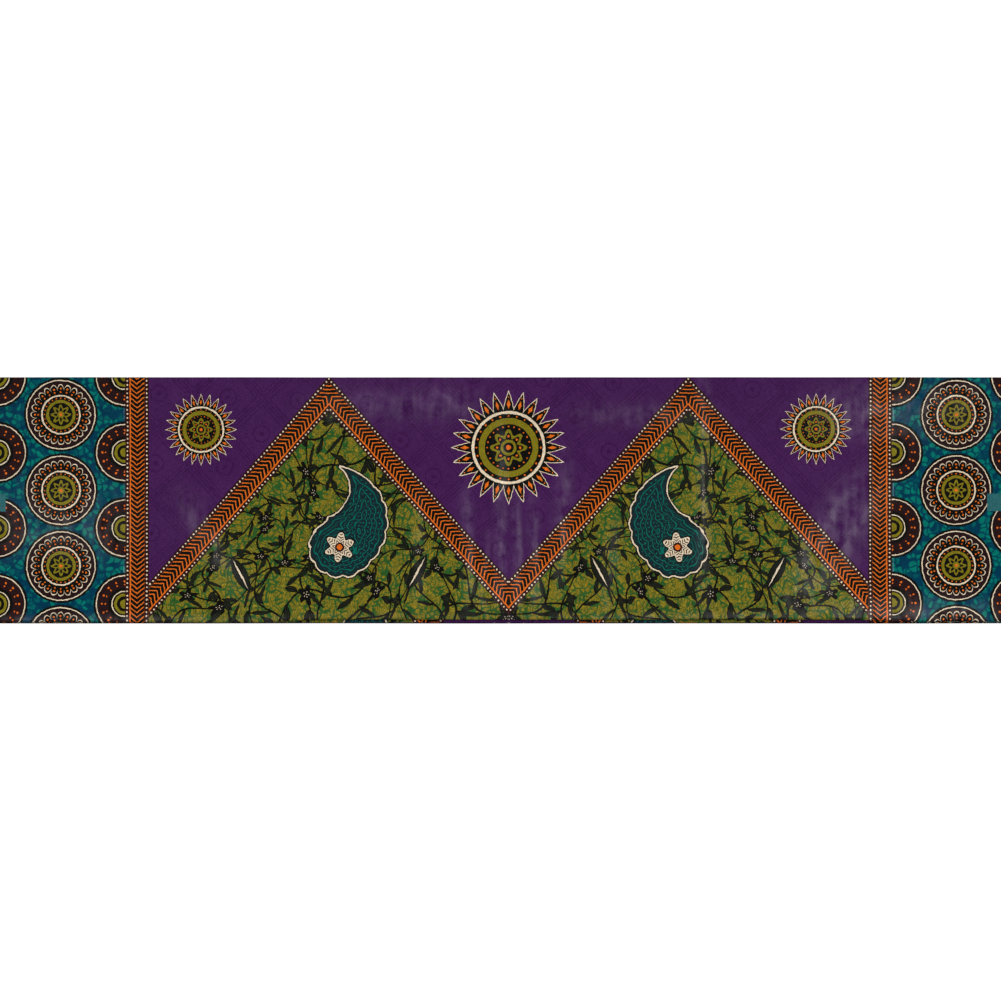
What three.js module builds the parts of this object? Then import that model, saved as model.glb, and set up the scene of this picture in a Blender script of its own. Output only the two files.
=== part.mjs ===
// A six-yard length of wax-printed cotton, folded to and fro over its whole width into nineteen flat laps.
// Millimetres: X runs from selvage to selvage, Y from the near folds to the cut end on top, and Z up.
// Each lap that shows is a wall of its own. The laps between them share one solid, layered at its edges.
import * as THREE from "three";

// The cloth, and how it lies
const CLOTH_WIDTH = 1194; // selvage to selvage
const STACK_DEPTH = 288.5; // near folds to the cut end
const LAP_DEPTH = 285; // fold to fold
const LAP_PITCH = 0.62; // height that one hidden lap adds to the stack
const LAP_WALL = 1; // thickness of a lap that is a wall of its own
const GAP = 0.33; // air between two pieces

// The near folds of the two upper laps
const PEEP = { left: 0.6, middle: 3.9, right: 1.5 }; // how far the second fold shows past the top one
const FOLD_RADIUS = { top: 1, under: 0.7 }; // radius of the wall's middle around its fold
const RETURN_DEPTH = 30; // how far a folded lap runs back under itself
const PINCH_DEPTH = 14; // distance behind a fold at which the two walls lie close together
const RAMP_DEPTH = 26; // distance over which the wall comes down past the end of the returned part

// The stack is a little thicker over its folds than in the middle
const EDGE_RISE = { near: 0.4, far: 1.6 };
const RISE_DEPTH = 75;

// Laps that lie a little inside the top one at the selvages
const UNDER_INSET = 1.2;
const BOTTOM_INSET = 2;

// The hidden folds from the bottom one up, each a pair of laps: how far it stops short on each side
const HIDDEN_FOLDS = [
  { near: 1.6, far: 2.2, left: 2.4, right: 1.6 },
  { near: 0.9, far: 1.1, left: 1.2, right: 2.8 },
  { near: 2.3, far: 1.9, left: 3.1, right: 1.3 },
  { near: 1.2, far: 0.8, left: 1.7, right: 2.2 },
  { near: 1.9, far: 2.5, left: 2.6, right: 3.2 },
  { near: 0.7, far: 1.4, left: 1.4, right: 1.8 },
  { near: 1.4, far: 1.0, left: 2.0, right: 2.5 },
];
const GROOVE_DEPTH = 1.1; // how far the outline draws in between two layers
const LEVELS_PER_FOLD = 4;

// Soft swells of the top lap: middle, size along and across, turn in degrees, and height
const SWELLS = [
  { x: -345, y: 8, length: 210, width: 120, turn: 58, height: 0.7 },
  { x: -190, y: -35, length: 240, width: 90, turn: 86, height: 0.5 },
  { x: -20, y: -60, length: 200, width: 110, turn: 80, height: 0.6 },
  { x: 60, y: 45, length: 260, width: 100, turn: 4, height: 0.5 },
  { x: 238, y: 0, length: 280, width: 90, turn: 89, height: 0.8 },
  { x: 408, y: -40, length: 200, width: 130, turn: -62, height: 0.9 },
];

const NEAR = -STACK_DEPTH / 2;
const FAR = -NEAR;
const HALF_WIDTH = CLOTH_WIDTH / 2;
const HIDDEN_FLOOR = LAP_WALL + GAP;

// 0 below 0, 1 above 1, and a smooth step between
const step = (t) => THREE.MathUtils.smoothstep(t, 0, 1);

// Numbers from one value to another in equal steps, both ends included
const spaced = (from, to, steps) =>
  Array.from({ length: steps + 1 }, (_, i) => THREE.MathUtils.lerp(from, to, i / steps));

// A closed body through rings of equal length, whose end rings are filled in.
// Seen against the way the rings advance, each runs anticlockwise. flat gives a point's place in that view.
function loft(rings, flat) {
  const size = rings[0].length;
  const last = (rings.length - 1) * size;
  const index = [];
  for (let start = 0; start < last; start += size) {
    for (let i = 0; i < size; i++) {
      const [a, b] = [start + i, start + ((i + 1) % size)];
      index.push(a, b, b + size, a, b + size, a + size);
    }
  }
  for (const [a, b, c] of THREE.ShapeUtils.triangulateShape(rings[0].map(flat), [])) index.push(c, b, a);
  for (const [a, b, c] of THREE.ShapeUtils.triangulateShape(rings.at(-1).map(flat), []))
    index.push(last + a, last + b, last + c);
  const geometry = new THREE.BufferGeometry().setFromPoints(rings.flat());
  geometry.setIndex(index);
  geometry.computeVertexNormals();
  return geometry;
}
const seenAlongX = (p) => new THREE.Vector2(p.y, p.z);
const seenFromAbove = (p) => new THREE.Vector2(p.x, p.y);

// Height of the hidden laps' top at depth y
const edgeRise = (y) =>
  EDGE_RISE.near * step((NEAR + RISE_DEPTH - y) / RISE_DEPTH) +
  EDGE_RISE.far * step((y - FAR + RISE_DEPTH) / RISE_DEPTH);
const hiddenHeight = (y) => 2 * LAP_PITCH * HIDDEN_FOLDS.length + edgeRise(y);

const RAMP_START = RETURN_DEPTH + GAP;

// How far a folded wall is lifted by its own fold and by the part returned under it, behind the fold's middle
function foldLift(behind, radius) {
  const close = LAP_WALL + GAP;
  const loop = (2 * radius - close) * (1 - step(behind / PINCH_DEPTH));
  return loop + close * (1 - step((behind - RAMP_START) / RAMP_DEPTH));
}

// Distances behind the fold's middle at which a folded wall has a point: over its returned part, down the
// ramp behind that, along the level middle, and up the rise at the far side
const BEHIND = [
  ...[0, 4, 9, PINCH_DEPTH, 22],
  ...spaced(RAMP_START, RAMP_START + RAMP_DEPTH, 5),
  ...[76, 120, 170],
  ...spaced(LAP_DEPTH - RISE_DEPTH, LAP_DEPTH - 6, 6),
];

// The section at x of a wall that comes from the far side, turns down at its fold and runs back underneath
function foldedSection({ x, tip, far, radius, floor, swell }) {
  const half = LAP_WALL / 2;
  const turn = tip + half + radius;
  const middle = [...BEHIND, far - turn].toReversed().map((behind) => {
    const y = turn + behind;
    return new THREE.Vector2(y, floor(y) + half + foldLift(behind, radius) + swell(x, y));
  });
  const centre = floor(turn) + half + radius;
  for (const angle of spaced(Math.PI / 2, (3 * Math.PI) / 2, 8).slice(1, -1))
    middle.push(new THREE.Vector2(turn + radius * Math.cos(angle), centre + radius * Math.sin(angle)));
  for (const behind of [0, RETURN_DEPTH / 2, RETURN_DEPTH])
    middle.push(new THREE.Vector2(turn + behind, floor(turn + behind) + half));

  const side = (away) =>
    middle.map((point, i) => {
      const along = middle[Math.min(i + 1, middle.length - 1)].clone().sub(middle[Math.max(i - 1, 0)]);
      const across = new THREE.Vector2(along.y, -along.x).setLength(away);
      return new THREE.Vector3(x, point.x + across.x, point.y + across.y);
    });
  return [...side(half), ...side(-half).reverse()];
}

// The second folded lap, whose fold shows past the top one
const underFloor = (y) => HIDDEN_FLOOR + hiddenHeight(y) + GAP;
const underTurn = NEAR + LAP_WALL / 2 + FOLD_RADIUS.under;
const underTop = (y) => underFloor(y) + LAP_WALL + foldLift(y - underTurn, FOLD_RADIUS.under);

function underLap() {
  const right = HALF_WIDTH - UNDER_INSET;
  const plan = { tip: NEAR, far: FAR - UNDER_INSET, radius: FOLD_RADIUS.under };
  const rings = [-right, right].map((x) => foldedSection({ x, ...plan, floor: underFloor, swell: () => 0 }));
  return loft(rings, seenAlongX);
}

// The top lap, from its cut end at the far side to its fold at the near side, where its swells die away
const ORIGIN = new THREE.Vector2();
function topSwell(x, y) {
  const height = SWELLS.map((swell) => {
    const from = new THREE.Vector2(x - swell.x, y - swell.y);
    from.rotateAround(ORIGIN, -THREE.MathUtils.degToRad(swell.turn));
    from.divide(new THREE.Vector2(swell.length / 2, swell.width / 2));
    return swell.height * Math.exp(-from.lengthSq());
  });
  return step((y - NEAR - RETURN_DEPTH) / RAMP_DEPTH) * height.reduce((sum, part) => sum + part);
}

// How far the second fold shows at x
function peep(x) {
  const share = (x + HALF_WIDTH) / CLOTH_WIDTH;
  const middle = THREE.MathUtils.lerp(PEEP.left, PEEP.middle, step((share - 0.25) / 0.08));
  return THREE.MathUtils.lerp(middle, PEEP.right, step((share - 0.84) / 0.1));
}

const TOP_STATIONS = 44;
function topLap() {
  const shape = { far: FAR, radius: FOLD_RADIUS.top, floor: (y) => underTop(y) + GAP, swell: topSwell };
  const rings = spaced(-HALF_WIDTH, HALF_WIDTH, TOP_STATIONS).map((x) =>
    foldedSection({ x, tip: NEAR + peep(x), ...shape }),
  );
  return loft(rings, seenAlongX);
}

// The laps between: a rounded slab whose sides draw in between layers, out of step on its near and far sides
const ALONG = [0, 0.25, 0.5, 0.75, 1]; // shares of the outline's width that have a point
const ACROSS = [0, 0.08, 0.16, 0.26, 0.74, 0.785, 0.83, 0.875, 0.92, 0.96, 1]; // shares of its depth
const RISE_RINGS = 8;

function hiddenOutline(level, shrink) {
  const fold = Math.min(Math.floor(level), HIDDEN_FOLDS.length - 1);
  const row = HIDDEN_FOLDS[fold];
  const groove = (wave) => GROOVE_DEPTH * (1 - Math.abs(wave));
  const near = NEAR + row.near + shrink + groove(Math.sin(Math.PI * level));
  const far = FAR - row.far - shrink - groove(Math.cos(Math.PI * level));
  const left = -HALF_WIDTH + row.left + shrink + groove(Math.sin(2 * Math.PI * level));
  const right = HALF_WIDTH - row.right - shrink - groove(Math.sin(2 * Math.PI * level));
  const xs = ALONG.map((share) => THREE.MathUtils.lerp(left, right, share));
  const ys = ACROSS.map((share) => THREE.MathUtils.lerp(near, far, share));
  const outline = [
    ...xs.slice(0, -1).map((x) => [x, near]),
    ...ys.slice(0, -1).map((y) => [right, y]),
    ...xs.toReversed().slice(0, -1).map((x) => [x, far]),
    ...ys.toReversed().slice(0, -1).map((y) => [left, y]),
  ];
  const up = level / HIDDEN_FOLDS.length;
  return outline.map(([x, y]) => new THREE.Vector3(x, y, HIDDEN_FLOOR + up * hiddenHeight(y)));
}

function hiddenLaps() {
  const top = HIDDEN_FOLDS.length;
  const rings = spaced(0, top, top * LEVELS_PER_FOLD).map((level) => hiddenOutline(level, 0));
  for (const shrink of spaced(0, RISE_DEPTH, RISE_RINGS).slice(1)) rings.push(hiddenOutline(top, shrink));
  return loft(rings, seenFromAbove);
}

// The lowest lap, flat on what it lies on
function bottomLap() {
  const radius = LAP_WALL / 2;
  const ends = [
    { y: NEAR + BOTTOM_INSET + radius, from: Math.PI / 2 },
    { y: FAR - BOTTOM_INSET - radius, from: -Math.PI / 2 },
  ];
  const rings = [-HALF_WIDTH + BOTTOM_INSET, HALF_WIDTH - BOTTOM_INSET].map((x) =>
    ends.flatMap(({ y, from }) =>
      spaced(from, from + Math.PI, 6).map(
        (angle) => new THREE.Vector3(x, y + radius * Math.cos(angle), radius + radius * Math.sin(angle)),
      ),
    ),
  );
  return loft(rings, seenAlongX);
}

// The stack, each piece in the colour that most of it shows
const PURPLE = 0x41204d;
const OLIVE = 0x47561f;
const TEAL = 0x1a4250;

const cloth = new THREE.Group();
for (const [name, color, geometry] of [
  ["bottom_lap", TEAL, bottomLap()],
  ["hidden_laps", OLIVE, hiddenLaps()],
  ["under_lap", TEAL, underLap()],
  ["top_lap", PURPLE, topLap()],
]) {
  const finish = new THREE.MeshStandardMaterial({ color, roughness: 0.5, metalness: 0 });
  const mesh = new THREE.Mesh(geometry, finish);
  mesh.name = name;
  cloth.add(mesh);
}

export default cloth;
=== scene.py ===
import math

import bmesh
import bpy
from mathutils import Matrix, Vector


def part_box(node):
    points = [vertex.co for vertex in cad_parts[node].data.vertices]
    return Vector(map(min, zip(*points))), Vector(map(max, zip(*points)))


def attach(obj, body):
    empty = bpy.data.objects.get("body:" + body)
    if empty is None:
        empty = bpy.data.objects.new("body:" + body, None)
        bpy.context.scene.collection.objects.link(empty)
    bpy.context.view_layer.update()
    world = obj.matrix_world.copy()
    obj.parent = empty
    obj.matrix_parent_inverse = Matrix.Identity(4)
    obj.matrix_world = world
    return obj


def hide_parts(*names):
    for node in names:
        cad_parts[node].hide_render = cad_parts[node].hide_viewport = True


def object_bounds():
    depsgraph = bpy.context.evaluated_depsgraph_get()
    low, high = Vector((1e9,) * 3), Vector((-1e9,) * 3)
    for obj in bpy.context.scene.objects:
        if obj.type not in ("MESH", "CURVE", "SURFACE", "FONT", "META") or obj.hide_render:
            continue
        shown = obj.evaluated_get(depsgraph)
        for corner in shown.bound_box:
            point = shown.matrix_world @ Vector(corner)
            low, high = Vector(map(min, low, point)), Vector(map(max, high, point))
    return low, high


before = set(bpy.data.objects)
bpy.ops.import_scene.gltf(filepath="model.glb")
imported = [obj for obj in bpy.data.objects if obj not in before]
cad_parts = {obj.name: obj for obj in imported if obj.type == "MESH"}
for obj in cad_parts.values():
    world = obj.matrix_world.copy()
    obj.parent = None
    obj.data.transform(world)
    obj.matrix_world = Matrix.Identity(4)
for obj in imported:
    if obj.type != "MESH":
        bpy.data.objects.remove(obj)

cad_low, cad_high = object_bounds()
MM = 0.001


# The view
# Straight down, as over a cutting table, with the far side up. The cloth fills the view from side
# to side and runs out of it by a few millimetres at both selvages.
SHOWN_WIDTH = 1177 * MM
EYE_HEIGHT = 3.4
SENSOR = 36

eye = bpy.data.cameras.new("eye")
eye.sensor_width = SENSOR
eye.lens = SENSOR * (EYE_HEIGHT - cad_high.z) / SHOWN_WIDTH
camera = bpy.data.objects.new("eye", eye)
camera.location = (0, 0, EYE_HEIGHT)
bpy.context.scene.collection.objects.link(camera)
bpy.context.scene.camera = camera
bpy.context.scene.view_settings.view_transform = "Standard"


# The top lap
# The last lap of one length of plain-weave cotton, wax-printed on both faces and folded to and fro
# over its full width. It starts at the cut end on the far side, rolls over its near fold and runs
# back under itself. Nothing holds it but its own weight and the pressed folds.
CLOTH_WIDTH = 1194
CLOTH_LENGTH = 5486
LAPS = 19
LAP = CLOTH_LENGTH / LAPS
CLOTH_THICKNESS = 0.3
LAP_PITCH = 0.62  # height of one pressed lap in the middle of the stack
CLEARANCE = 0.03  # between two folds that lie on each other
EDGE_DEPTH = 75  # how far in from the folds the stack is puffed up
ROUND_LENGTH = 1.2  # the cloth in half a fold, as a share of how far its round reaches in

NEAR, FAR = (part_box("under_lap")[0].y / MM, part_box("top_lap")[1].y / MM)
TOP_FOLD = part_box("top_lap")[0].y / MM

# Each fold, by its number from the cut end: how far inside the edge its tip lies, which the first
# fold settles in a way of its own, how high its two laps stand together, how far its round reaches
# in, and how far it has slipped sideways
FOLDS = {
    1: dict(height=2.8, round=3.4, slip=0.0),
    2: dict(inside=1.1, height=1.7, round=1.2, slip=-0.6),
    3: dict(inside=1.1, height=2.0, round=1.5, slip=0.7),
    4: dict(inside=2.0, height=1.5, round=1.0, slip=-1.2),
    5: dict(inside=0.0, height=1.5, round=1.2, slip=0.4),
    6: dict(inside=0.7, height=1.6, round=1.3, slip=1.3),
    7: dict(inside=0.6, height=1.5, round=1.4, slip=-0.5),
    8: dict(inside=1.7, height=1.5, round=1.1, slip=-1.6),
    9: dict(inside=1.9, height=1.5, round=1.1, slip=0.9),
    10: dict(inside=1.2, height=1.6, round=1.2, slip=1.8),
    11: dict(inside=1.0, height=1.5, round=1.3, slip=-0.8),
    12: dict(inside=2.4, height=1.5, round=1.0, slip=-1.9),
    13: dict(inside=2.2, height=1.5, round=1.2, slip=0.6),
    14: dict(inside=0.9, height=1.6, round=1.3, slip=1.5),
    15: dict(inside=0.8, height=1.5, round=1.2, slip=-1.1),
    16: dict(inside=1.8, height=1.5, round=1.1, slip=-0.4),
    17: dict(inside=1.6, height=1.4, round=1.3, slip=1.2),
    18: dict(inside=2.0, height=1.6, round=1.2, slip=-0.7),
}

# how glossy the finish is, and how much painted sheen lightens its colour, at the tip of the first fold
FOLD_GLOSS_AND_SHEEN, FOLD_GLOSS_AND_SHEEN_DEPTH = (0.5, 14)  # at the tip of the first fold, and how far in it fades out
CREASE_FROM, CREASE_GROWTH = (8, 30)  # how far inside the folds creases start, and how soon they are full

# Soft creases of the top lap: the middle, the length, the width across, the turn of the length from the X
# direction, the lift, which is negative in a trough, and how glossy the finish is there, which also sets
# how much a painted sheen lightens its colour.
# A crease with a ledge stays lifted on its left side.
CREASES = [
    dict(x=-118, y=112, length=200, width=24, turn=1, lift=0.8, gloss_and_painted_sheen=0.75, ledge=False),
    dict(x=-58, y=114, length=52, width=9, turn=-39, lift=0.4, gloss_and_painted_sheen=1, ledge=False),
    dict(x=-97, y=-58, length=130, width=9, turn=91, lift=0.25, gloss_and_painted_sheen=0.5, ledge=False),
    dict(x=-38, y=-66, length=170, width=8, turn=92, lift=0.35, gloss_and_painted_sheen=0.9, ledge=False),
    dict(x=-19, y=-96, length=120, width=7, turn=88, lift=0.25, gloss_and_painted_sheen=0.7, ledge=False),
    dict(x=0, y=-22, length=230, width=8, turn=89, lift=0.35, gloss_and_painted_sheen=1, ledge=False),
    dict(x=20, y=-70, length=150, width=7, turn=91, lift=0.3, gloss_and_painted_sheen=0.9, ledge=False),
    dict(x=40, y=-72, length=160, width=8, turn=93, lift=0.3, gloss_and_painted_sheen=0.8, ledge=False),
    dict(x=72, y=-18, length=150, width=11, turn=87, lift=0.4, gloss_and_painted_sheen=0.7, ledge=False),
    dict(x=128, y=-84, length=110, width=10, turn=84, lift=0.3, gloss_and_painted_sheen=0.5, ledge=False),
    dict(x=-206, y=5, length=290, width=9, turn=90, lift=-0.3, gloss_and_painted_sheen=0, ledge=False),
    dict(x=238, y=-2, length=300, width=9, turn=90, lift=0.6, gloss_and_painted_sheen=0.6, ledge=False),
    dict(x=161, y=101, length=160, width=16, turn=0, lift=0.5, gloss_and_painted_sheen=0.35, ledge=True),
    dict(x=393, y=-46, length=175, width=30, turn=61, lift=1.5, gloss_and_painted_sheen=1, ledge=True),
    dict(x=480, y=106, length=200, width=36, turn=2, lift=0.9, gloss_and_painted_sheen=0.7, ledge=False),
    dict(x=478, y=-130, length=220, width=18, turn=0, lift=0.5, gloss_and_painted_sheen=1, ledge=False),
    dict(x=-520, y=-20, length=170, width=52, turn=-4, lift=0.7, gloss_and_painted_sheen=0.35, ledge=False),
    dict(x=-338, y=-55, length=150, width=24, turn=-58, lift=1.0, gloss_and_painted_sheen=0.4, ledge=True),
]


def smooth(share):
    """0 below 0, 1 above 1, and a smooth step between."""
    share = min(max(share, 0), 1)
    return share * share * (3 - 2 * share)


def wobble(number, kind):
    """A fixed uneven value from -1 to 1 for a numbered fold."""
    return math.sin(number * 2.39 + kind * 1.73) * math.cos(number * 0.91 - kind * 0.47)


def is_near(fold):
    return fold % 2 == 1


def tip(fold, x):
    """How far out fold reaches at x."""
    wave = 0.5 * math.sin(x / (90 + 40 * wobble(fold, 1)) + 6 * wobble(fold, 2))
    wave += 0.25 * math.sin(x / (31 + 9 * wobble(fold, 3)) + 6 * wobble(fold, 4))
    if fold == 0:
        return FAR + 0.75 + 0.15 * wave
    if fold == LAPS:
        return NEAR + 2 + wave
    if fold == 1:
        # the folds below show past it, most along the middle and least at the left-hand end
        share = x / CLOTH_WIDTH + 0.5
        back = 3.3 * smooth((share - 0.25) / 0.08) - 2.4 * smooth((share - 0.84) / 0.1)
        return TOP_FOLD + 0.2 + back + 0.4 * wave
    if fold in (3, 5):
        return NEAR - 0.45 + FOLDS[fold]["inside"] + 0.2 * wave
    if is_near(fold):
        return NEAR + 0.6 + FOLDS[fold]["inside"] + wave
    return FAR - 0.4 - FOLDS[fold]["inside"] + wave


def stacked(folds, floor):
    """The heights of the laps over one edge: each fold, from the lowest, holds two laps."""
    heights = {}
    for fold in folds:
        heights[fold + 1] = floor + CLOTH_THICKNESS / 2
        heights[fold] = floor + FOLDS[fold]["height"] - CLOTH_THICKNESS / 2
        floor += FOLDS[fold]["height"] + CLEARANCE
    return heights, floor


NEAR_HEIGHT, _ = stacked(range(17, 0, -2), CLOTH_THICKNESS + CLEARANCE)
NEAR_HEIGHT[LAPS] = CLOTH_THICKNESS / 2
FAR_HEIGHT, far_top = stacked(range(18, 0, -2), 0)
FAR_HEIGHT[1] = far_top + CLOTH_THICKNESS / 2
MIDDLE_HEIGHT = {lap: (LAPS - lap + 0.5) * LAP_PITCH for lap in range(1, LAPS + 1)}


def creased(x, y):
    """How far the creases lift the top of the stack at a place, and how glossy its finish is there, which
    also sets how much a painted sheen lightens its colour.
    """
    lift, gloss_and_painted_sheen = 0, FOLD_GLOSS_AND_SHEEN * (1 - smooth((y - tip(1, x)) / FOLD_GLOSS_AND_SHEEN_DEPTH))
    for c in CREASES:
        turn = math.radians(c["turn"])
        dx, dy = x - c["x"], y - c["y"]
        along = (dx * math.cos(turn) + dy * math.sin(turn)) / (c["length"] / 2)
        across = (dy * math.cos(turn) - dx * math.sin(turn)) / (c["width"] / 2)
        if abs(along) < 2 and abs(across) < 9:
            fade = math.exp(-(along**4))
            shape = math.exp(-(across**2))
            if c["ledge"]:
                shape = smooth((across + 1) / 2) * math.exp(-max(across - 1, 0) / 4)
            lift += c["lift"] * fade * shape
            gloss_and_painted_sheen = max(gloss_and_painted_sheen, c["gloss_and_painted_sheen"] * fade * math.exp(-((across / 1.7) ** 2)))
    return lift, gloss_and_painted_sheen


def height(lap, x, y):
    """The height of the middle of a lap's cloth."""
    puff = 1 + 0.02 * math.sin(x / 130 + 1) + 0.015 * math.sin(x / 57)
    near = 1 - smooth((y - NEAR) / EDGE_DEPTH)
    far = 1 - smooth((FAR - y) / EDGE_DEPTH)
    flat = MIDDLE_HEIGHT[lap]
    z = flat + near * (NEAR_HEIGHT[lap] * puff - flat) + far * (FAR_HEIGHT[lap] * puff - flat)
    held = smooth((y - NEAR - CREASE_FROM) / CREASE_GROWTH)
    if lap > 2:
        held *= flat / MIDDLE_HEIGHT[1] * smooth((FAR - y - CREASE_FROM) / CREASE_GROWTH)
    return z + held * creased(x, y)[0]


def folded(u, v):
    """The folded place of the point that lies u across and v along the flat cloth."""
    lap = min(int(v / LAP), LAPS - 1) + 1
    behind, before = lap - 1, lap
    start, end = v - behind * LAP, before * LAP - v
    rounds = {f: FOLDS[f]["round"] if f in FOLDS else 0 for f in (behind, before)}
    slips = [FOLDS[f]["slip"] if f in FOLDS else 0 for f in (behind, before)]
    x = u - CLOTH_WIDTH / 2 + slips[0] + (slips[1] - slips[0]) * start / LAP
    inward = {f: 1 if is_near(f) else -1 for f in (behind, before)}
    for fold, distance, up in ((behind, start, -1), (before, end, 1)):
        if distance < ROUND_LENGTH * rounds[fold]:
            # round the fold: a flattened half circle between its two laps
            angle = math.pi / 2 * distance / (ROUND_LENGTH * rounds[fold])
            reach = rounds[fold] * (1 - math.cos(angle) ** 0.9 if angle else 0)
            y = tip(fold, x) + inward[fold] * reach
            top, low = height(fold, x, y), height(fold + 1, x, y)
            return x, y, (top + low) / 2 + up * (top - low) / 2 * math.sin(angle)
    first, last = (tip(f, x) + inward[f] * rounds[f] for f in (behind, before))
    run = LAP - ROUND_LENGTH * (rounds[behind] + rounds[before])
    y = first + (last - first) * (start - ROUND_LENGTH * rounds[behind]) / run
    return x, y, height(lap, x, y)


HIDDEN_STEP = 48  # between rows of points where the cloth doesn't show
CLOSEST = 0.2  # no two rows lie closer


def rows(first, last, step):
    """Places along the cloth at which a stretch of it gets a row of points: close together round each
    fold, and wider apart where it has run back under the top lap."""
    places = {first, last}
    for fold in range(LAPS + 1):
        reach = ROUND_LENGTH * FOLDS[fold]["round"] if fold in FOLDS else 0
        offsets = [reach * share / 5 for share in range(-5, 6)]
        for distance in (2, 5, 10, 17, 27, 40, 56, 75):
            offsets += [reach + distance, -reach - distance]
        places.update(fold * LAP + offset for offset in offsets)
    place = first
    while place < last:
        places.add(place)
        place += step if place < LAP else max(step, HIDDEN_STEP)
    places = sorted(p for p in places if first <= p <= last)
    return [p for p, after in zip(places, places[1:] + [math.inf]) if after - p > CLOSEST]


def stretch(name, first, last, column, step, material, node):
    """The cloth from first to last along it: a flat grid moved to its folded place, so that the print
    and the weave run on from lap to lap. Column and step are the grid's spacings."""
    line = rows(first, last, step)
    columns = round(CLOTH_WIDTH / column)
    cloth = bmesh.new()
    print_place = cloth.loops.layers.uv.new("print")
    gloss_and_painted_sheen = cloth.verts.layers.float.new("gloss_and_painted_sheen")
    bmesh.ops.create_grid(cloth, x_segments=columns, y_segments=len(line) - 1, size=0.5)
    flat = {}
    for point in cloth.verts:
        across = round((point.co.x + 0.5) * columns)
        along = round((point.co.y + 0.5) * (len(line) - 1))
        flat[point] = (across * CLOTH_WIDTH / columns, line[along])
    for face in cloth.faces:
        for corner in face.loops:
            u, v = flat[corner.vert]
            corner[print_place].uv = (u * MM, v * MM)
        face.smooth = True
    for point, (u, v) in flat.items():
        x, y, z = folded(u, v)
        point.co = (x * MM, y * MM, z * MM)
        # how glossy the finish is, and how much painted sheen lightens the colour, at each point of the
        # first lap
        point[gloss_and_painted_sheen] = creased(x, y)[1] if v < LAP else 0
    mesh = bpy.data.meshes.new(name)
    cloth.to_mesh(mesh)
    cloth.free()
    mesh.materials.append(material)
    piece = bpy.data.objects.new(name, mesh)
    bpy.context.scene.collection.objects.link(piece)
    wall = piece.modifiers.new("thickness", "SOLIDIFY")
    wall.thickness = CLOTH_THICKNESS * MM
    wall.offset = 0
    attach(piece, "root")
    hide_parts(node)
    return piece


class Field:
    """A value that varies over the cloth, held as a shader socket. Arithmetic on it adds Math nodes."""

    def __init__(self, tree, socket=None):
        self.tree = tree
        self.socket = socket

    def node(self, kind, sockets=None, result=0, **settings):
        """Adds any other node: its type, its settings, and then the values or links of its sockets."""
        made = self.tree.nodes.new("ShaderNode" + kind)
        for name, value in settings.items():
            setattr(made, name, value)
        for name, value in (sockets or {}).items():
            if isinstance(value, Field):
                self.tree.links.new(value.socket, made.inputs[name])
            else:
                made.inputs[name].default_value = value
        return Field(self.tree, made.outputs[result])

    def beside(self, result):
        """Another output of the same node."""
        return Field(self.tree, self.socket.node.outputs[result])

    def math(self, operation, *others, clamp=False):
        return self.node("Math", dict(enumerate((self, *others))), operation=operation, use_clamp=clamp)

    def __add__(self, other):
        return self.math("ADD", other)

    def __sub__(self, other):
        return self.math("SUBTRACT", other)

    def __rsub__(self, other):
        return self.node("Math", {0: other, 1: self}, operation="SUBTRACT")

    def __mul__(self, other):
        return self.math("MULTIPLY", other)

    def __truediv__(self, other):
        return self.math("DIVIDE", other)

    def __neg__(self):
        return self * -1

    def __abs__(self):
        return self.math("ABSOLUTE")

    def __rtruediv__(self, other):
        return self.node("Math", {0: other, 1: self}, operation="DIVIDE")

    __radd__ = __add__
    __rmul__ = __mul__


STUDIO_LIGHT = 1.43  # how much brighter than its own colour a cloth looks under the lights


def dye(red, green, blue):
    """A dye, given as it looks under the studio's lights, as the shader's linear colour."""
    linear = [((c + 0.055) / 1.055) ** 2.4 if c > 0.04 else c / 12.92 for c in (red, green, blue)]
    return tuple(c / STUDIO_LIGHT for c in linear) + (1,)


def within(distance, reach=0.0, soft=0.35):
    """1 where a distance is under reach, with a soft edge, as where wax has held back the dye."""
    return distance.math("MULTIPLY_ADD", -1 / soft, reach / soft + 0.5, clamp=True)


def both(one, other):
    return one.math("MINIMUM", other)


def either(one, other):
    return one.math("MAXIMUM", other)


def far_from(x, y):
    """The distance of (x, y) from the middle of a motif."""
    return (x * x + y * y).math("SQRT")


def repeated(x, period):
    """x counted from the nearest multiple of period."""
    return x.math("WRAP", period / 2, -period / 2)


def chosen(where, one, other):
    """one where the mask is 1, and other elsewhere."""
    return other + (one - other) * where


def turned(x, y, degrees):
    """The coordinates along and across a direction."""
    c, s = math.cos(math.radians(degrees)), math.sin(math.radians(degrees))
    return x * c + y * s, y * c - x * s


def point(x, y):
    return x.node("CombineXYZ", {0: x, 1: y})


def parted(place):
    """The two coordinates of a place."""
    x = place.node("SeparateXYZ", {0: place})
    return x, x.beside(1)


def clouds(place, size, detail=0):
    """Uneven patches of about the given size, from 0 to 1."""
    scaled = {"Vector": place, "Scale": 1 / size, "Detail": detail}
    return place.node("TexNoise", scaled, noise_dimensions="2D")


def cells(place, size):
    """Cells of about the given size: the share of it to a cell's middle, and the distance to the
    nearest edge between cells."""
    scaled = {"Vector": place, "Scale": 1 / size}
    middles = place.node("TexVoronoi", scaled, voronoi_dimensions="2D")
    edges = place.node("TexVoronoi", scaled, feature="DISTANCE_TO_EDGE", voronoi_dimensions="2D")
    return middles, edges * size


def strayed(place, size, reach):
    """The place moved about by up to reach, unevenly, so that what is drawn there wanders."""
    drift = clouds(place, size).beside("Color")
    return place.node(
        "VectorMath", {0: drift, 1: (2 * reach, 2 * reach, 0), 2: place}, operation="MULTIPLY_ADD"
    )


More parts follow.
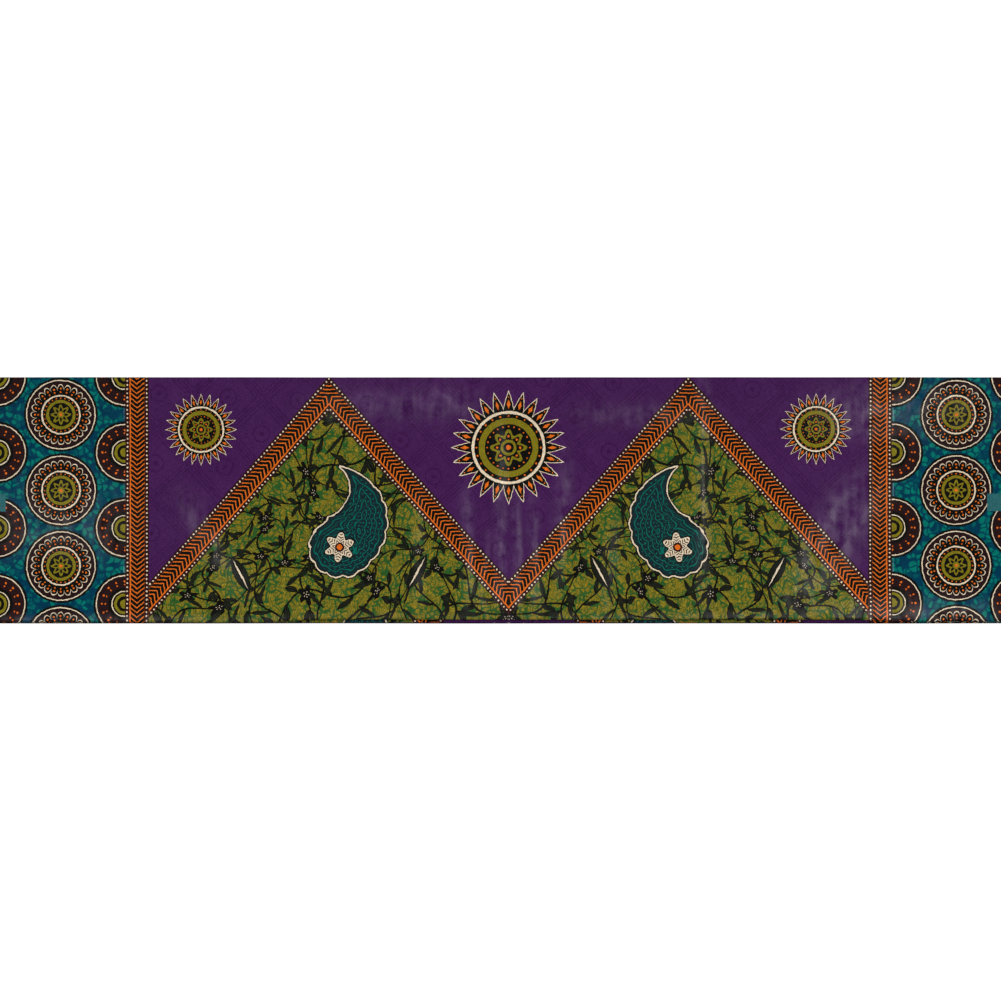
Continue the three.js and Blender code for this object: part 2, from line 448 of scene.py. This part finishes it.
def inked(cloth, ink, mask):
    """The cloth's colour with an ink printed over it where the mask is 1."""
    return mask.node("Mix", {0: mask, 6: cloth, 7: ink}, result=2, data_type="RGBA")


def shaded(cloth, share):
    """The cloth's colour made lighter or darker."""
    return cloth.node("VectorMath", {0: cloth, "Scale": share}, operation="SCALE")


# The print's layout, in millimetres, mirrored about its middle
PRINT_MIDDLE = CLOTH_WIDTH / 2 + 10
REPEAT = 356
BAND_HALF = 14
CHEVRON = 5.6  # from one chevron of a band to the next
SIDE_BAND = 437.3  # from the middle of the print to the middle of the band beside each border
PEAK_WIDTH = 211.4  # half the width of one tooth of the zigzag band
PEAK, VALLEY = (20, 262)
CROSS_BAND = 320  # the straight band that parts one row of teeth from the next
ROUNDEL = (0, 84)  # out from the print's middle, and down
SMALL_ROUNDEL = (362, 62)
SMALL_ROUNDEL_SHRINK = 1.6
ROUNDELS_PART = 290  # the small roundels lie outside this
POD = (104, 232)  # out from the middle of a tooth, and down
PAISLEY = 172  # how far down its middle lies
BORDER = 527  # the middle of each border
BORDER_HALF = 75
MEDALLION_PITCH = REPEAT / 4
BLOCK = 148  # the middle of the plain block at each selvage
BLOCK_WIDTH, BLOCK_HALF = (14.5, 10.3)
BLOCK_SHIFT = 9.5  # how much further in the right-hand block lies
SELVAGE = 4
WARP_PITCH, WEFT_PITCH = (0.38, 0.42)

BLACK = dye(0.064, 0.064, 0.056)
BROWN = dye(0.145, 0.083, 0.09)
MAROON = dye(0.18, 0.08, 0.08)
IVORY = dye(0.86, 0.79, 0.68)
ORANGE = dye(0.84, 0.405, 0.12)
OLIVE = dye(0.47, 0.43, 0.10)
LEAF = dye(0.125, 0.14, 0.1)
DARK_PURPLE = dye(0.215, 0.075, 0.26)
PURPLE = dye(0.23, 0.092, 0.28)
PALE_PURPLE = dye(0.275, 0.135, 0.325)
MUSTARD = (dye(0.42, 0.37, 0.09), dye(0.58, 0.49, 0.13))
GREEN = dye(0.165, 0.32, 0.14)
DEEP_BLUE = (dye(0.005, 0.17, 0.26), dye(0.02, 0.235, 0.325))
SEA_GREEN = dye(0.02, 0.425, 0.38)
DARK_TEAL = dye(0.085, 0.155, 0.17)
TEAL_LINE = dye(0.03, 0.38, 0.33)
BLOCK_TEAL = dye(0.17, 0.375, 0.39)
HALO = dye(0.40, 0.52, 0.56)
# painted sheen: the pale milky tint laid over the colour on the glossy creases
PAINTED_SHEEN = dye(0.78, 0.76, 0.82)


def around(x, y, count):
    """The distance from a round motif's middle, and the angle in radians from the nearest of its
    count rays."""
    return far_from(x, y), repeated(y.math("ARCTAN2", x), 2 * math.pi / count)


def dotted(radius, swing, ring, size):
    """Dots on a ring of a round motif, one to each ray."""
    return within(far_from(radius - ring, radius * swing), size)


def chevron_band(cloth, across, along):
    """A band of black chevrons on orange, between two rows of ivory dots on maroon."""
    off = abs(across)
    cloth = inked(cloth, MAROON, within(off, BAND_HALF))
    cloth = inked(cloth, ORANGE, within(off, 8.7))
    arrow = abs(repeated(along + off * 0.8, CHEVRON))
    # the chevrons stop short on one side, which leaves an orange line there
    bars = both(within(arrow - CHEVRON * 0.365), within(abs(across + 0.7), 8))
    cloth = inked(cloth, BLACK, bars)
    return inked(cloth, IVORY, within(far_from(off - 11.4, repeated(along, 4.85)), 0.98))


def purple_ground(x, run, spot):
    """Purple, dyed a little unevenly, with a lattice and rings in its own darker shade."""
    cloth = spot.node(
        "Mix", {0: clouds(spot, 42, 4), 6: PURPLE, 7: PALE_PURPLE}, result=2, data_type="RGBA"
    )
    one, other = turned(x, run, 48)
    spacing = 58
    one, other = abs(repeated(one, spacing)), abs(repeated(other, spacing))
    nearest = both(one, other)
    lines = either(within(abs(nearest - 1.6), 0.7, soft=1.2), within(abs(nearest - 5.6), 0.6, soft=1.2))
    middle = far_from(one - spacing / 2, other - spacing / 2)
    rings = either(within(abs(middle - 9.5), 0.9, soft=1.4), within(middle, 2.6, soft=1.4))
    return inked(cloth, DARK_PURPLE, either(lines, rings) * 0.75)


def roundel(cloth, x, y, shrink):
    """A star roundel on the purple: straight rays round an ivory ring, with an eight-petalled heart."""
    radius, swing = around(x * shrink, y * shrink, 24)
    ray = radius + abs(swing) * (21 * 24 / math.pi)
    cloth = inked(cloth, IVORY, within(ray, 68, soft=0.6))
    cloth = inked(cloth, BLACK, within(ray, 65.6, soft=0.6))
    lozenge = abs(radius - 51.5) / 5.5 + abs(radius * swing) / 2.1
    cloth = inked(cloth, ORANGE, either(within(lozenge, 1, soft=0.2), dotted(radius, swing, 60, 0.75)))
    cloth = inked(cloth, IVORY, within(radius, 43.5))
    cloth = inked(cloth, BLACK, within(radius, 40.3))
    cloth = inked(cloth, ORANGE, dotted(radius, swing, 37.8, 1.05))
    cloth = inked(cloth, OLIVE, within(abs(radius - 31.6), 3.6))
    cloth = inked(cloth, ORANGE, dotted(radius, swing, 25.2, 0.9))
    _, petal = around(x, y, 8)
    heart = radius - (petal * 8).math("COSINE") * 3.5
    cloth = inked(cloth, OLIVE, within(heart, 18.5))
    cloth = inked(cloth, BLACK, within(heart, 14.2))
    cloth = inked(cloth, ORANGE, dotted(radius, petal, 13.6, 1.3))
    cloth = inked(cloth, OLIVE, within(radius, 9.4))
    cloth = inked(cloth, BLACK, within(radius, 6.2))
    return inked(cloth, ORANGE, within(radius, 2.8))


def crackled(spot):
    """Mustard crossed by green where dye has run into cracks of the wax, in a web and fine bundles."""
    wandering = strayed(spot, 13, 6)
    _, cracks = cells(wandering, 7.2)
    flood = clouds(spot, 13, 3)
    web = within(cracks - flood * 4.75, -1.6, soft=0.55)
    patch = clouds(wandering, 17, 1)
    drag = patch * 24
    x, y = parted(spot)
    upright = within(abs(repeated(x + y * 0.2 + drag, 3.1)), 0.55, soft=0.6)
    slanting = within(abs(repeated(y - x * 0.7 + drag, 3.4)), 0.55, soft=0.6)
    bundles = either(
        both(upright, within(-patch, -0.5, soft=0.1)), both(slanting, within(patch, 0.47, soft=0.1))
    )
    tone = clouds(spot, 5, 3).math("MULTIPLY_ADD", 2, -0.5, clamp=True)
    cloth = spot.node("Mix", {0: tone, 6: MUSTARD[0], 7: MUSTARD[1]}, result=2, data_type="RGBA")
    return inked(cloth, GREEN, either(web, bundles * 0.9))


def vine(x, y, turn, lane, pitch):
    """A family of wandering stems with a leaf on each side by turns, and here and there a flower. Gives
    the masks of what is dark, of the paler halves of the leaves, and of the flowers' dots."""
    along, across = turned(x, y, turn)
    row = (across / lane).math("ROUND")
    stem = across - row * lane - (along * (2 * math.pi / 96) + row * 2.1).math("SINE") * 11
    count = (along / pitch).math("ROUND")
    chance = along.node("TexWhiteNoise", {0: point(count, row)}, noise_dimensions="2D")
    rise = stem * (count.math("PINGPONG", 1) * 2 - 1)
    start = along - count * pitch + pitch * 0.46
    lean = chance * 0.45 + 0.5
    c, s = lean.math("COSINE"), lean.math("SINE")
    length, off = start * c + rise * s, rise * c - start * s
    share = length / (chance * 5 + 17)
    bulge = share * (1 - share)
    rib = abs(off - bulge * (6 - share * 9))
    leaf = rib - bulge * 10.5
    radius, swing = around(length - 10, off, 5)
    bloom = radius - (swing * 5).math("COSINE") * 2.8
    flower = chance.math("LESS_THAN", 0.1)
    dark = either(within(abs(stem), 1.1), chosen(flower, within(bloom, 8.2), within(leaf, 0.15)))
    halves = both(within(leaf, -0.8), within(-rib, -0.45)) - flower
    dots = both(flower, either(dotted(radius, swing, 2.7, 0.5), within(radius, 0.6)))
    return dark, halves, dots


def pod(cloth, x, y):
    """A long dark seed pod with an ivory split down its middle."""
    share = x * x * (-1 / 24**2) + 1
    edge = abs(y) - share * 8
    cloth = inked(cloth, BLACK, within(edge))
    cloth = inked(cloth, LEAF, both(within(edge, -1.2), within(abs(repeated(x + abs(y), 2.6)), 0.6)))
    cloth = inked(cloth, BLACK, within(abs(y) - share * 2.6))
    return inked(cloth, IVORY, within(abs(y) - share * 1.7, -0.6))


def paisley(cloth, x, y):
    """A large paisley: a scalloped ivory line round a dark comma, with echo lines and a blossom."""
    size = 33
    x, y = turned(x, y, -22)
    head = far_from(x, y + size) - size
    whole, angle = far_from(x, y), y.math("ARCTAN2", x)
    hollow = far_from(x + 6, y - 1.18 * size) - 1.06 * size
    tail = either(either(whole - 2 * size, x), either(x * 0.93 + y * 0.37, -hollow))
    tail = either(tail, (x + 37.4) * 0.824 + (y - 54.4) * 0.567 - 1)
    # the scallops fade out towards the middle and up towards the tip
    fade = both(within(-whole, -20, soft=24), within(y, 20, soft=30))
    scallop = abs((angle * 11).math("SINE")) * fade * 2.4
    edge = head.math("SMOOTH_MIN", tail, 9) - scallop
    cloth = inked(cloth, BLACK, within(edge, 3.2))
    cloth = inked(cloth, IVORY, within(edge, 1.8))
    cloth = inked(cloth, BLACK, within(edge, 0.3))
    body = within(edge, -0.8)
    cloth = inked(cloth, DARK_TEAL, body)
    ripple = (x * 0.33).math("SINE") + (y * 0.29).math("SINE")
    echo = within(abs(repeated(edge + ripple * 0.7, 6)), 0.55)
    seeds = within(far_from(repeated(edge + ripple * 0.7 + 3, 6), repeated(angle * 46, 5)), 0.8)
    cloth = inked(cloth, TEAL_LINE, both(either(echo, seeds), within(edge, -3.2)))
    radius, swing = around(x, y + size, 6)
    blossom = radius - (swing * 6).math("COSINE") * 3.6
    cloth = inked(cloth, BLACK, within(blossom, 16.2))
    cloth = inked(cloth, IVORY, within(blossom, 14.2))
    stripes = within(abs(repeated(radius - abs(swing) * 9, 3.6)), 0.75)
    cloth = inked(cloth, MAROON, both(within(blossom, 12.6), stripes))
    cloth = inked(cloth, MAROON, within(radius, 5.6))
    return inked(cloth, ORANGE, within(radius, 3.2))


def green_ground(side, down, spot):
    """The crackled green teeth, with vines, pods and a paisley."""
    cloth = crackled(spot)
    x, y = parted(strayed(point(side, down), 120, 20))
    dark, pale, dots = None, None, None
    for turn, lane, pitch in ((28, 46, 17), (-52, 52, 18), (97, 57, 17)):
        ink, inside, heart = vine(x, y, turn, lane, pitch)
        dark = ink if dark is None else either(dark, ink)
        pale = inside if pale is None else either(pale, inside)
        dots = heart if dots is None else either(dots, heart)
    cloth = inked(cloth, BLACK, dark)
    cloth = inked(cloth, LEAF, pale)
    cloth = inked(cloth, IVORY, dots * 0.8)
    out = side - PEAK_WIDTH
    cloth = pod(cloth, *turned(abs(out) - POD[0], POD[1] - down, 62))
    return paisley(cloth, out, PAISLEY - down)


def medallion(cloth, x, y):
    """A border medallion: a dark disc with a ring of rounded petals and an eight-petalled heart."""
    radius, swing = around(x, y, 24)
    cloth = inked(cloth, BLACK, within(radius, 43.4))
    cloth = inked(cloth, IVORY, within(abs(radius - 40.2), 0.58))
    cloth = inked(cloth, BROWN, within(radius, 38.6))
    share = swing * (24 / math.pi)
    edge = radius - (1 - share * share).math("MAXIMUM", 0).math("SQRT") * 7
    cloth = inked(cloth, IVORY, within(edge, 28.6))
    cloth = inked(cloth, BLACK, within(edge, 27.5))
    dots = either(dotted(radius, swing, 30.4, 1.1), dotted(radius, swing, 26.6, 0.9))
    cloth = inked(cloth, ORANGE, dots)
    cloth = inked(cloth, IVORY, within(radius, 23.2))
    cloth = inked(cloth, BLACK, within(radius, 21.5))
    cloth = inked(cloth, ORANGE, dotted(radius, swing, 19.3, 0.75))
    cloth = inked(cloth, OLIVE, within(abs(radius - 15.6), 1.7))
    _, petal = around(x, y, 8)
    heart = radius - (petal * 8).math("COSINE") * 2.2
    cloth = inked(cloth, OLIVE, within(heart, 9.8))
    cloth = inked(cloth, BLACK, within(heart, 6.6))
    cloth = inked(cloth, OLIVE, within(radius, 4.2))
    return inked(cloth, ORANGE, within(radius, 1.8))


def button(cloth, x, y):
    """A plainer disc that stands half out of each side of the border, between two medallions."""
    radius, swing = around(x, y, 16)
    cloth = inked(cloth, BLACK, within(radius, 36.4))
    cloth = inked(cloth, IVORY, within(abs(radius - 33), 0.58))
    cloth = inked(cloth, BROWN, within(radius, 31.6))
    dots = either(dotted(radius, swing, 26.4, 1.2), dotted(radius, swing, 22.6, 0.9))
    cloth = inked(cloth, ORANGE, dots)
    cloth = inked(cloth, BLACK, within(radius, 18.8))
    cloth = inked(cloth, IVORY, within(abs(radius - 14.6), 0.6))
    cloth = inked(cloth, BLACK, within(radius, 14))
    return inked(cloth, OLIVE, either(within(abs(radius - 10.4), 1.6), within(radius, 5.2)))


def bubbled(spot):
    """Deep blue with sea-green pebbles, where drops of wax have kept the second dye out."""
    wandering = strayed(spot, 9, 3)
    cell = 7.5
    middles, edges = cells(wandering, cell)
    tint = spot.node("SeparateColor", {0: middles.beside("Color")})
    pebbles = both(within(-edges, -0.75, soft=1.1), within(middles * cell, 3.5, soft=1.8))
    pebbles = pebbles * tint.math("MULTIPLY_ADD", 1.7, -0.05, clamp=True)
    cloth = spot.node(
        "Mix", {0: clouds(spot, 12, 2), 6: DEEP_BLUE[0], 7: DEEP_BLUE[1]}, result=2, data_type="RGBA"
    )
    return inked(cloth, SEA_GREEN, pebbles)


def border_ground(side, down, spot):
    """The teal border, with a row of medallions and half discs along both its sides."""
    out = side - BORDER
    cloth = bubbled(spot)
    cloth = inked(cloth, HALO, both(within(abs(out + BORDER_HALF - 0.8), 0.5), clouds(spot, 6)))
    cloth = button(cloth, abs(out) - BORDER_HALF, repeated(down, MEDALLION_PITCH))
    return medallion(cloth, out, repeated(down - MEDALLION_PITCH / 2, MEDALLION_PITCH))


def printed(u, spot):
    """The print's colour at a spot of the flat cloth, which lies u across it."""
    # its edges waver a little, as rollers and wax leave them
    x, run = parted(strayed(spot, 4, 0.5))
    x = x - PRINT_MIDDLE
    side = abs(x)
    down = run.math("FLOORED_MODULO", REPEAT)

    cloth = purple_ground(x, run, spot)
    middle = side.math("LESS_THAN", ROUNDELS_PART)
    cloth = roundel(
        cloth,
        chosen(middle, side - ROUNDEL[0], side - SMALL_ROUNDEL[0]),
        chosen(middle, down - ROUNDEL[1], down - SMALL_ROUNDEL[1]),
        middle * (1 - SMALL_ROUNDEL_SHRINK) + SMALL_ROUNDEL_SHRINK,
    )

    # the zigzag band's own coordinates, across it and along it
    slope = (VALLEY - PEAK) / PEAK_WIDTH
    lean = 1 / math.hypot(1, slope)
    peak = side.math("PINGPONG", PEAK_WIDTH)
    zig = (down + peak * slope - VALLEY) * lean
    zag = peak * lean + (VALLEY - down) * (slope * lean)
    cloth = inked(cloth, green_ground(side, down, spot), both(within(-zig), within(down, CROSS_BAND)))
    cloth = inked(cloth, border_ground(side, down, spot), within(-side, -SIDE_BAND))

    at_side = within(-side, -(SIDE_BAND - BAND_HALF))
    at_cross = within(-down, -(CROSS_BAND - BAND_HALF))
    across = chosen(at_side, side - SIDE_BAND, chosen(at_cross, down - CROSS_BAND, zig))
    along = chosen(at_side, run, chosen(at_cross, x, zag))
    cloth = chevron_band(cloth, across, along)

    # the plain blocks and the plain edges at the selvages
    inward = u.math("MINIMUM", CLOTH_WIDTH - BLOCK_SHIFT - u)
    block = both(within(inward, BLOCK_WIDTH), within(abs(down - BLOCK), BLOCK_HALF))
    cloth = inked(cloth, BLOCK_TEAL, block)
    return inked(cloth, DEEP_BLUE[0], within(u.math("MINIMUM", CLOTH_WIDTH - u), SELVAGE))


def printed_cotton():
    """The cloth's material: the print, a painted shade at its cut end, the weave, and the finish with a
    painted sheen on its creases, all drawn at the place on the flat cloth, so that they follow the folds."""
    cotton = bpy.data.materials.new("printed_cotton")
    cotton.use_nodes = True
    shader = cotton.node_tree.nodes["Principled BSDF"]
    start = Field(cotton.node_tree)
    u, v = parted(start.node("UVMap", uv_map="print"))
    u, v = u / MM, v / MM
    spot = point(u, v)
    cloth = printed(u, spot)

    # painted shade: the last millimetre and a half at the cut end is darkened by half, standing in for
    # the shade along that edge
    cloth = shaded(cloth, within(v, 1.5, soft=1) * -0.5 + 1)

    # threads: a plain weave, uneven in shade from thread to thread
    warp = (u * (2 * math.pi / WARP_PITCH)).math("SINE")
    weft = (v * (2 * math.pi / WEFT_PITCH)).math("SINE")
    threads = warp * weft
    slubs = clouds(point(u / 0.8, v / 7), 1) + clouds(point(u / 7, v / 0.8), 1)
    cloth = shaded(cloth, threads * 0.06 + slubs * 0.5 + 0.5)
    streaks = clouds(point(u / 8, v / 60), 1, 2) + clouds(spot, 30, 2)
    relief = threads * 0.004 + streaks * 0.35
    bump = start.node("Bump", {"Strength": 1, "Distance": MM, "Height": relief})

    # the finish: glossier in wisps where the cloth has been creased, and there a painted sheen that
    # lightens the colour and tints it faintly milky
    gloss_and_painted_sheen = start.node("Attribute", result=2, attribute_name="gloss_and_painted_sheen")
    wisps = clouds(point(u / 7, v / 45), 1, 2) * 0.4 + clouds(spot, 15, 4) * 0.6
    shine_and_painted_sheen = gloss_and_painted_sheen * wisps.math("MULTIPLY_ADD", 3.4, -1.2, clamp=True)
    # painted sheen: the colour is lightened by up to a quarter and tinted toward a pale milky colour
    # where the finish shines; the same wisps also raise the real coat below
    cloth = inked(shaded(cloth, shine_and_painted_sheen * 0.25 + 1), PAINTED_SHEEN, shine_and_painted_sheen * 0.025)

    start.tree.links.new(cloth.socket, shader.inputs["Base Color"])
    start.tree.links.new(bump.socket, shader.inputs["Normal"])
    start.tree.links.new((shine_and_painted_sheen * 0.7 + 0.015).socket, shader.inputs["Coat Weight"])
    shader.inputs["Roughness"].default_value = 0.5
    shader.inputs["Specular IOR Level"].default_value = 0
    shader.inputs["Coat Roughness"].default_value = 0.27
    return cotton


# The visible lap, and the half lap that has run back under it
cotton = printed_cotton()
top = stretch("top_lap_cloth", 0, 1.5 * LAP, 3.2, 3.2, cotton, "top_lap")


# The under lap
# The next two laps of the same cloth, round the second fold, whose edge peeps out below the top
# one along most of the near side. They lie loose on the laps below.
under = stretch("under_lap_cloth", 1.5 * LAP, 3.5 * LAP, 6, 48, cotton, "under_lap")


# The hidden laps
# Fourteen more laps, which show only as pressed layers at the edges of the stack. The folds aren't
# quite in line, and the laps have slipped a little sideways against each other.
hidden = stretch("hidden_laps_cloth", 3.5 * LAP, 17.5 * LAP, 12, 96, cotton, "hidden_laps")


# The bottom lap
# The last one and a half laps, up to the other cut end. The lowest lap lies flat on the floor and
# carries the stack.
bottom = stretch("bottom_lap_cloth", 17.5 * LAP, LAPS * LAP, 8, 48, cotton, "bottom_lap")


# The floor
# A wide sheet of pale paper on a light table, lit mostly from below, so that the stack casts no
# shadow on it.
floor_mesh = bpy.data.meshes.new("floor")
plan = bmesh.new()
bmesh.ops.create_grid(plan, x_segments=1, y_segments=1, size=30)
plan.to_mesh(floor_mesh)
plan.free()
floor = bpy.data.objects.new("floor", floor_mesh)
floor.location.z = -0.2 * MM  # just clear of the lowest lap
bpy.context.scene.collection.objects.link(floor)
paper = bpy.data.materials.new("pale_floor")
paper.use_nodes = True
surface = paper.node_tree.nodes["Principled BSDF"]
surface.inputs["Base Color"].default_value = (0.15, 0.15, 0.15, 1)
surface.inputs["Roughness"].default_value = 0.9
surface.inputs["Emission Color"].default_value = (1, 1, 1, 1)
surface.inputs["Emission Strength"].default_value = 0.98
floor_mesh.materials.append(paper)


# The lights
# Three wide soft lamps far away, the strongest from beyond the far side, so that the near folds are
# in shade. Four small ones high above wake the polished creases.
LAMP_HEIGHT = 3.1


def hung(name, kind, power, toward):
    """A lamp that shines in the direction toward."""
    lamp = bpy.data.lights.new(name, kind)
    lamp.energy = power
    light = bpy.data.objects.new(name, lamp)
    light.rotation_euler = Vector(toward).to_track_quat("-Z", "Y").to_euler()
    bpy.context.scene.collection.objects.link(light)
    return light


for name, toward, power in (
    ("key", (0.25, -1, -0.9), 3.2),
    ("left", (1, -0.2, -0.8), 1.0),
    ("right", (-1, -0.2, -0.8), 0.6),
):
    hung(name, "SUN", power, toward).data.angle = math.radians(24)

for name, x, y in (
    ("sheen_far", -0.1, 0.75),
    ("sheen_right", 0.62, -0.1),
    ("sheen_left", -0.98, -0.3),
    ("sheen_near", 0.35, -0.8),
):
    light = hung(name, "AREA", 8, (-x, -y, -LAMP_HEIGHT))
    light.location = (x, y, LAMP_HEIGHT)
    light.data.size = 0.3

# A room with a dark ceiling, so that the cloth mirrors nothing but the lamps. Its walls are pale
# apart from the near one, so that the near folds stay in shade.
world = bpy.data.worlds.new("room")
bpy.context.scene.world = world
world.use_nodes = True
room = Field(world.node_tree)
aim = room.node("SeparateXYZ", {0: room.node("TexCoord")})
beyond, rise = aim.beside(1), aim.beside(2)
wall = room.node(
    "MapRange",
    {"Value": rise, "From Min": 0.35, "From Max": 0.7, "To Min": 1.0, "To Max": 0.02},
    interpolation_type="SMOOTHSTEP",
)
pale = room.node(
    "MapRange", {"Value": beyond, "From Min": -0.5, "From Max": 0.3, "To Min": 0.15, "To Max": 1.0}
)
world.node_tree.links.new((wall * pale).socket, world.node_tree.nodes["Background"].inputs["Color"])
